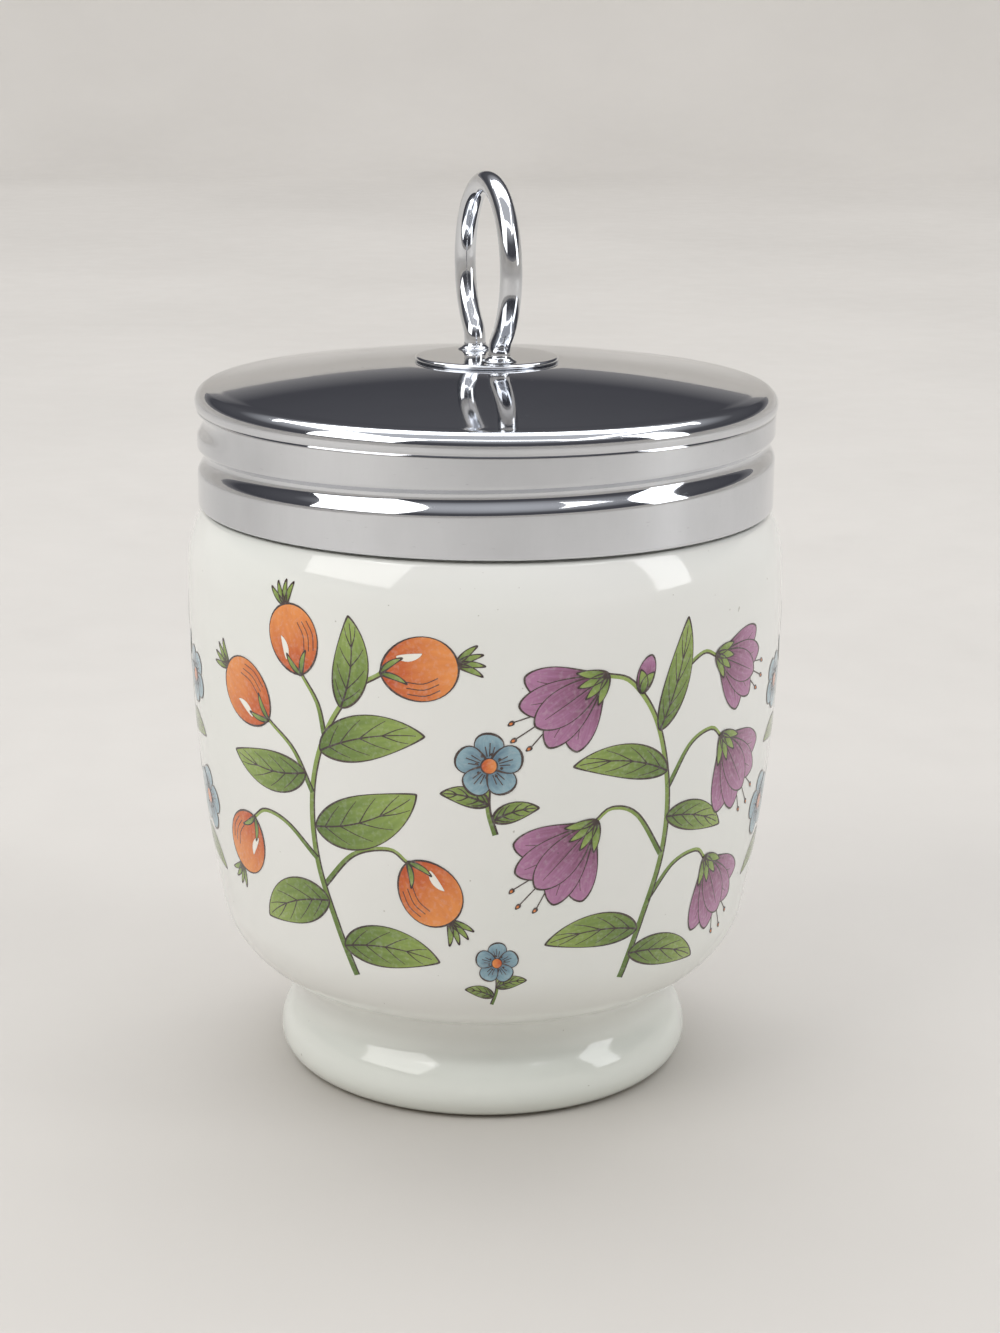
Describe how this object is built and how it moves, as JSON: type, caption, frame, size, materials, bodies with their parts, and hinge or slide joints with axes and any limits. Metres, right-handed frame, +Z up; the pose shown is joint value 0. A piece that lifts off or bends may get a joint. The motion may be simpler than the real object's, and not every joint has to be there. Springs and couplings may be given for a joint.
{
  "type": "egg coddler",
  "caption": "Porcelain egg coddler: round cup on a foot ring with a screw-on chromed metal lid and an upright finger ring.",
  "frame": {"origin": "centre of the foot ring on the surface it stands on", "axes": "+Z up along the cup's axis, -Y towards the front of the picture, +X to its right"},
  "size_m": [0.0682, 0.0682, 0.1036],
  "materials": {
    "porcelain": "glossy white glaze with a transfer-printed fruit and leaf pattern",
    "chrome": "mirror polished",
    "plated_steel": "dull plated, unpolished inside",
    "seal": "matte off-white"
  },
  "bodies": {
    "cup": {"porcelain_cup": "porcelain"},
    "seal": {"sealing_ring": "seal"},
    "disc": {"inner_disc": "plated_steel"},
    "lid": {"lid_shell": "chrome", "backing_washer": "plated_steel", "ring_plate": "chrome", "finger_ring": "chrome", "ring_collars": "chrome"}
  },
  "joints": [
    {"name": "lid_lift", "type": "slide", "parent": "cup", "child": "seal", "axis": [0, 0, 1], "range_m": [0, 0.075]},
    {"name": "lid_rise", "type": "slide", "parent": "seal", "child": "disc", "axis": [0, 0, 1], "range_m": [0, 0.005]},
    {"name": "lid_turn", "type": "hinge", "parent": "disc", "child": "lid", "pos_m": [0, 0, 0.0766], "axis": [0, 0, 1], "range_deg": [0, 450]}
  ],
  "couplings": [
    {"joint": "lid_rise", "follows": "lid_turn", "m_per_rad": 0.00063662}
  ]
}
